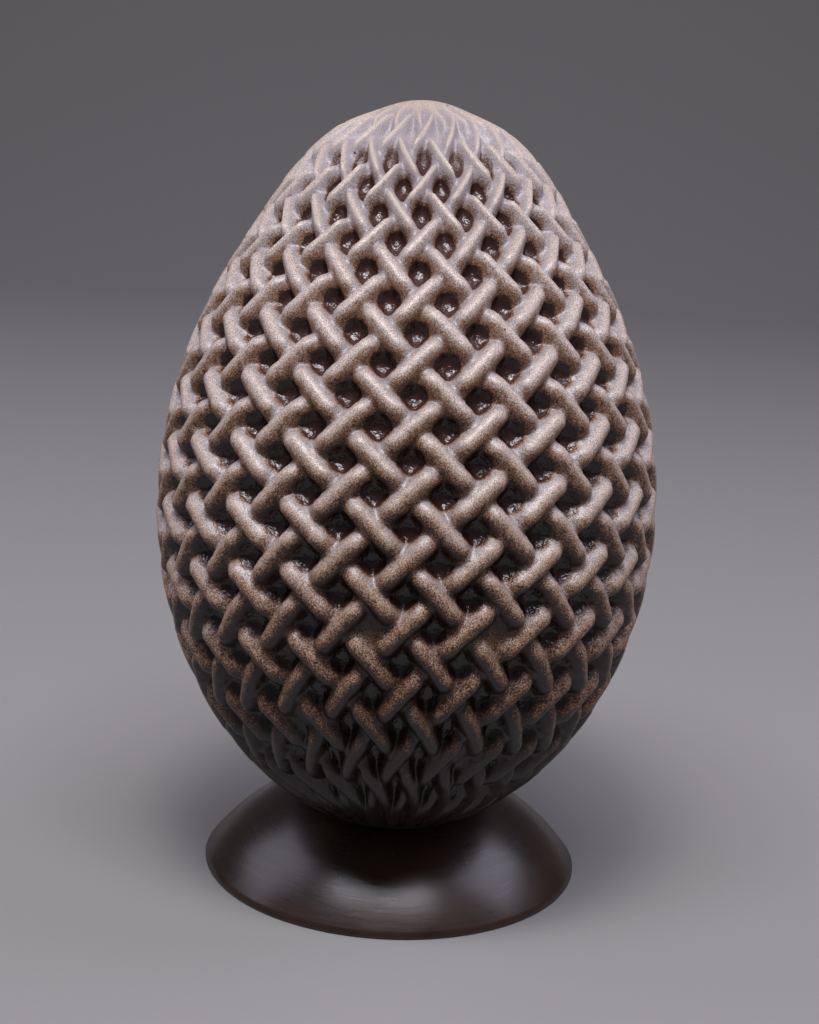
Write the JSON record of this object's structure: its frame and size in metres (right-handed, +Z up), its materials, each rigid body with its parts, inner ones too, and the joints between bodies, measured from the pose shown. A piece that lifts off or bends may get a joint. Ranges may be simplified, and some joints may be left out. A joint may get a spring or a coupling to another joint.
{
  "type": "chocolate egg",
  "caption": "Moulded chocolate egg with a raised diagonal basket-weave relief dusted in bronze, leaning in the dished seat of a low domed dark chocolate foot.",
  "frame": {"origin": "centre of the foot's flat underside", "axes": "+Z up from the table through the foot; +Y away from the front, the way the egg's pointed end leans; +X to the right"},
  "size_m": [0.1368, 0.1403, 0.2128],
  "materials": {
    "bronze_dusted_chocolate": "milk chocolate brushed with bronze lustre powder: satin speckled strands, bare glossy dark pits",
    "dark_chocolate": "smooth tempered dark chocolate, satin gloss"
  },
  "bodies": {
    "root": {"egg": "bronze_dusted_chocolate", "foot": "dark_chocolate"}
  },
  "joints": []
}
